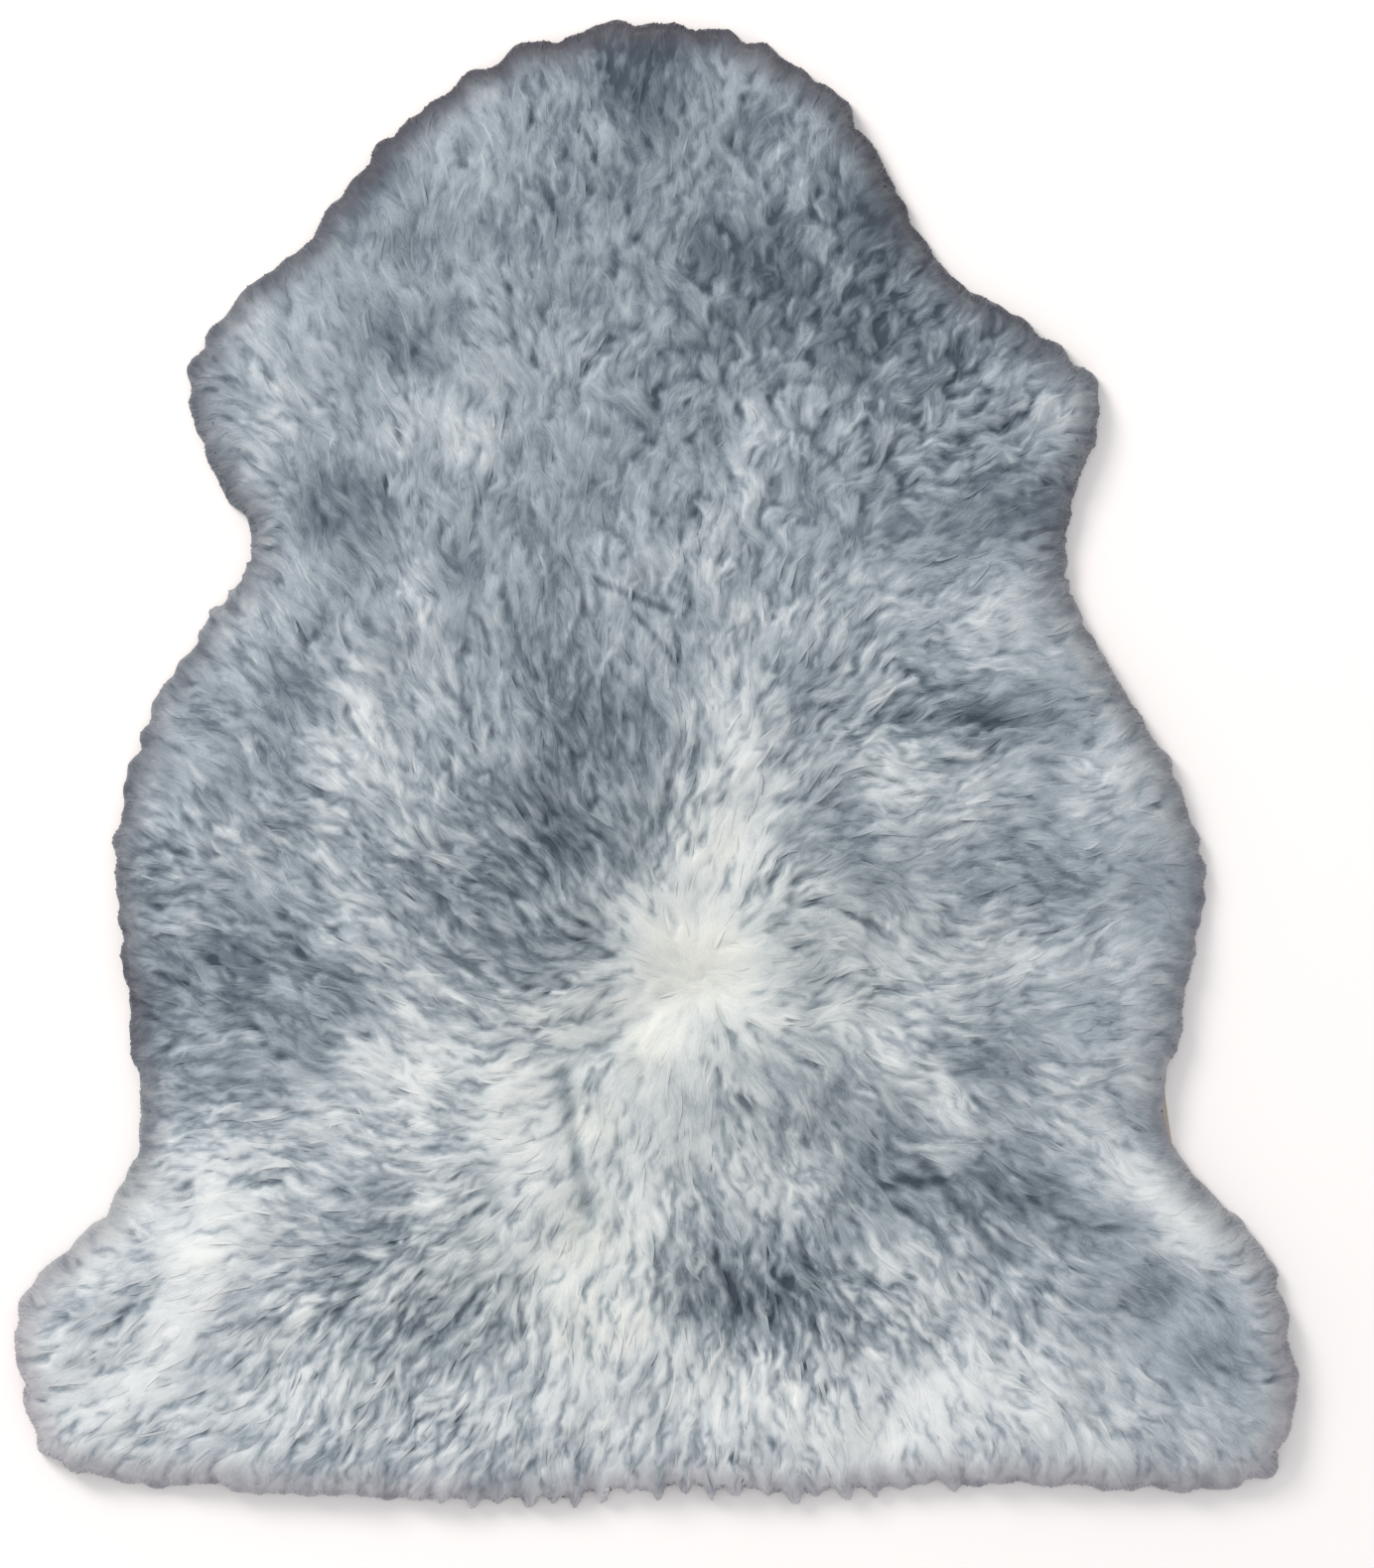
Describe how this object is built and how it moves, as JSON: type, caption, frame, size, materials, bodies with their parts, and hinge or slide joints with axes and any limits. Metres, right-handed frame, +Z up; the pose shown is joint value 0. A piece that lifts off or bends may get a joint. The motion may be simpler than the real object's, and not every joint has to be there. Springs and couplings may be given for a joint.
{
  "type": "sheepskin rug",
  "caption": "Sheepskin rug in the outline of a single pelt: a thin tanned hide under a thick, lumpy fleece, laid flat with locks of wool falling past its edge.",
  "frame": {"origin": "on the floor under the middle of the rug's bounding box", "axes": "+Y points to the neck end, +X to the right as seen from above with the neck away from the viewer, +Z up out of the wool"},
  "size_m": [0.861, 0.9934, 0.0492],
  "materials": {
    "hide": "tanned hide with a soft napped suede underside",
    "wool": "long combed sheep's wool, mottled slate grey to cream"
  },
  "bodies": {
    "root": {"hide": "hide", "fleece": "wool"}
  },
  "joints": []
}
